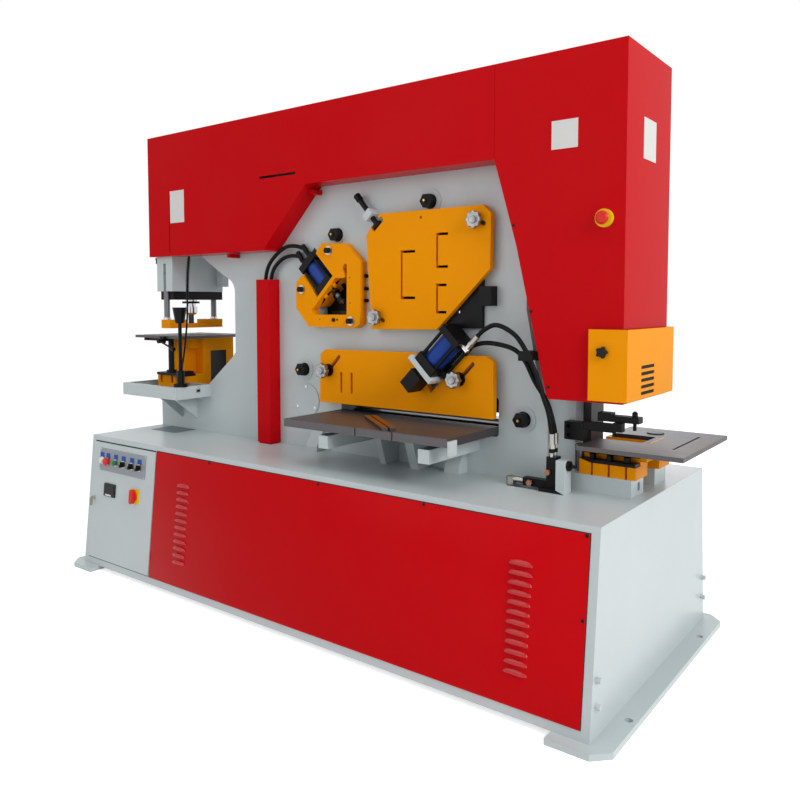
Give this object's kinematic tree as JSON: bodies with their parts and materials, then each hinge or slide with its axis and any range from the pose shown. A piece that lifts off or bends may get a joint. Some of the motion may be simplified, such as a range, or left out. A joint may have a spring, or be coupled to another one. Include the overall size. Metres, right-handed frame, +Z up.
{
  "type": "hydraulic ironworker",
  "caption": "Floor-standing hydraulic ironworker with punch, angle shear, section shear, flat bar shear and notcher on one frame over a cabinet base.",
  "frame": {"origin": "on the floor, at the centre of the four foundation holes", "axes": "+X runs along the machine to the notcher's end, the operator stands on the -Y side, +Z is up"},
  "size_m": [2.808, 1.212, 2.098],
  "materials": {
    "white_paint": "satin",
    "red_paint": "gloss",
    "yellow_paint": "satin",
    "grey_paint": "satin",
    "green_plastic": "gloss",
    "red_plastic": "gloss",
    "black_plastic": "matte",
    "black_steel": "satin",
    "cut_steel": "satin",
    "ground_steel": "gloss",
    "cast_dark": "matte",
    "hose_rubber": "matte"
  },
  "bodies": {
    "frame": {"base_cabinet": "white_paint", "front_panel": "red_paint", "front_side_plate": "white_paint", "rear_side_plate": "white_paint", "doubler_plate": "white_paint", "frame_spacers": "white_paint", "frame_bolts": "black_steel", "left_cover": "red_paint", "right_cover": "red_paint", "hose_post": "red_paint", "main_cylinder": "cut_steel", "fixed_blades": "cut_steel", "punch_cylinder": "white_paint", "die_holder": "yellow_paint", "punch_table": "cut_steel", "chip_tray": "white_paint", "task_lamp": "black_steel", "angle_shear_housing": "yellow_paint", "angle_cylinder": "black_steel", "section_die_plate": "black_steel", "flat_cylinder": "black_steel", "shear_table": "cut_steel", "hose_fittings": "black_steel", "notch_base": "yellow_paint", "notch_table": "cut_steel", "notch_guide": "cast_dark", "notch_stop": "black_steel", "lamp_cable": "hose_rubber", "hose_left_a": "hose_rubber", "hose_left_b": "hose_rubber", "hose_right_a": "hose_rubber", "hose_right_b": "hose_rubber"},
    "control_door": {"control_door": "white_paint", "door_button_plate": "grey_paint"},
    "start_button": {"start_button": "green_plastic"},
    "stop_button": {"stop_button": "red_plastic"},
    "selector_1": {"selector_1": "black_plastic"},
    "selector_2": {"selector_2": "black_plastic"},
    "selector_3": {"selector_3": "black_plastic"},
    "isolator_handle": {"isolator_handle": "red_plastic"},
    "door_key": {"door_key": "ground_steel"},
    "cover_stop_button": {"cover_stop_button": "red_plastic"},
    "main_rod": {"main_rod": "ground_steel"},
    "beam": {"beam": "cast_dark", "moving_blades": "cut_steel"},
    "punch_ram": {"punch_ram": "ground_steel", "punch_tooling": "cut_steel"},
    "stripper": {"stripper": "yellow_paint"},
    "table_lever": {"table_lever": "black_steel"},
    "angle_rod": {"angle_rod": "ground_steel"},
    "section_plate": {"section_plate": "yellow_paint"},
    "adjusting_screw": {"adjusting_screw": "black_steel"},
    "flat_hold_down": {"flat_hold_plate": "yellow_paint", "flat_rod": "ground_steel"},
    "knob_1": {"knob_1": "ground_steel"},
    "knob_2": {"knob_2": "ground_steel"},
    "knob_3": {"knob_3": "ground_steel"},
    "knob_4": {"knob_4": "ground_steel"},
    "notch_ram": {"notch_ram": "cut_steel"},
    "notch_guard": {"notch_guard": "yellow_paint"}
  },
  "joints": [
    {"name": "door_hinge", "type": "hinge", "parent": "frame", "child": "control_door", "pos_m": [-0.79, -0.53364, 0.33035], "axis": [0, 0.099, 0.9951], "range_deg": [0, 110]},
    {"name": "start_press", "type": "slide", "parent": "control_door", "child": "start_button", "axis": [0, 0.9951, -0.099], "range_m": [0, 0.003], "stiffness_N_per_m": 500, "springref_m": -0.001},
    {"name": "stop_press", "type": "slide", "parent": "control_door", "child": "stop_button", "axis": [0, 0.9951, -0.099], "range_m": [0, 0.004], "stiffness_N_per_m": 500, "springref_m": -0.001},
    {"name": "selector_1_turn", "type": "hinge", "parent": "control_door", "child": "selector_1", "pos_m": [-1.025, -0.51125, 0.52], "axis": [0, -0.9951, 0.099], "range_deg": [-45, 45]},
    {"name": "selector_2_turn", "type": "hinge", "parent": "control_door", "child": "selector_2", "pos_m": [-0.958, -0.51125, 0.52], "axis": [0, -0.9951, 0.099], "range_deg": [-45, 45]},
    {"name": "selector_3_turn", "type": "hinge", "parent": "control_door", "child": "selector_3", "pos_m": [-0.9, -0.51125, 0.52], "axis": [0, -0.9951, 0.099], "range_deg": [-45, 45]},
    {"name": "isolator_turn", "type": "hinge", "parent": "control_door", "child": "isolator_handle", "pos_m": [-0.923, -0.52438, 0.388], "axis": [0, -0.9951, 0.099], "range_deg": [0, 90]},
    {"name": "key_turn", "type": "hinge", "parent": "control_door", "child": "door_key", "pos_m": [-1.25, -0.52966, 0.335], "axis": [0, -0.9951, 0.099], "range_deg": [0, 90]},
    {"name": "cover_stop_press", "type": "slide", "parent": "frame", "child": "cover_stop_button", "axis": [0, 1, 0], "range_m": [0, 0.004], "stiffness_N_per_m": 500, "springref_m": -0.001},
    {"name": "beam_pivot", "type": "hinge", "parent": "frame", "child": "beam", "pos_m": [-0.56, 0.04, 1.13], "axis": [0, 1, 0], "range_deg": [0, 2]},
    {"name": "main_rod_stroke", "type": "slide", "parent": "frame", "child": "main_rod", "axis": [0, 0, -1], "range_m": [0, 0.048]},
    {"name": "punch_stroke", "type": "slide", "parent": "frame", "child": "punch_ram", "axis": [0, 0, -1], "range_m": [0, 0.042]},
    {"name": "stripper_height", "type": "slide", "parent": "frame", "child": "stripper", "axis": [0, 0, 1], "range_m": [-0.03, 0]},
    {"name": "lever_turn", "type": "hinge", "parent": "frame", "child": "table_lever", "pos_m": [-1.096, -0.25, 1.086], "axis": [0, 1, 0], "range_deg": [-60, 30]},
    {"name": "angle_rod_stroke", "type": "slide", "parent": "frame", "child": "angle_rod", "axis": [0.7071, 0, -0.7071], "range_m": [0, 0.04]},
    {"name": "section_adjust", "type": "slide", "parent": "frame", "child": "section_plate", "axis": [-0.89, 0, 0.456], "range_m": [0, 0.018]},
    {"name": "screw_travel", "type": "slide", "parent": "frame", "child": "adjusting_screw", "axis": [-0.6559, 0, 0.7549], "range_m": [0, 0.017]},
    {"name": "flat_hold_stroke", "type": "slide", "parent": "frame", "child": "flat_hold_down", "axis": [-0.7071, 0, -0.7071], "range_m": [0, 0.035]},
    {"name": "knob_1_turn", "type": "hinge", "parent": "frame", "child": "knob_1", "pos_m": [0.669, -0.15, 1.575], "axis": [0, 1, 0], "continuous": true},
    {"name": "knob_2_turn", "type": "hinge", "parent": "frame", "child": "knob_2", "pos_m": [0.204, -0.15, 1.217], "axis": [0, 1, 0], "continuous": true},
    {"name": "knob_3_turn", "type": "hinge", "parent": "frame", "child": "knob_3", "pos_m": [-0.056, -0.16, 0.99], "axis": [0, 1, 0], "continuous": true},
    {"name": "knob_4_turn", "type": "hinge", "parent": "frame", "child": "knob_4", "pos_m": [0.6, -0.16, 0.99], "axis": [0, 1, 0], "continuous": true},
    {"name": "notch_stroke", "type": "slide", "parent": "frame", "child": "notch_ram", "axis": [0, 0, -1], "range_m": [0, 0.155]},
    {"name": "guard_height", "type": "slide", "parent": "frame", "child": "notch_guard", "axis": [0, 0, 1], "range_m": [-0.11, 0]}
  ],
  "couplings": [
    {"joint": "main_rod_stroke", "follows": "beam_pivot", "m_per_rad": 1.36},
    {"joint": "screw_travel", "follows": "section_adjust", "ratio": 0.93}
  ]
}
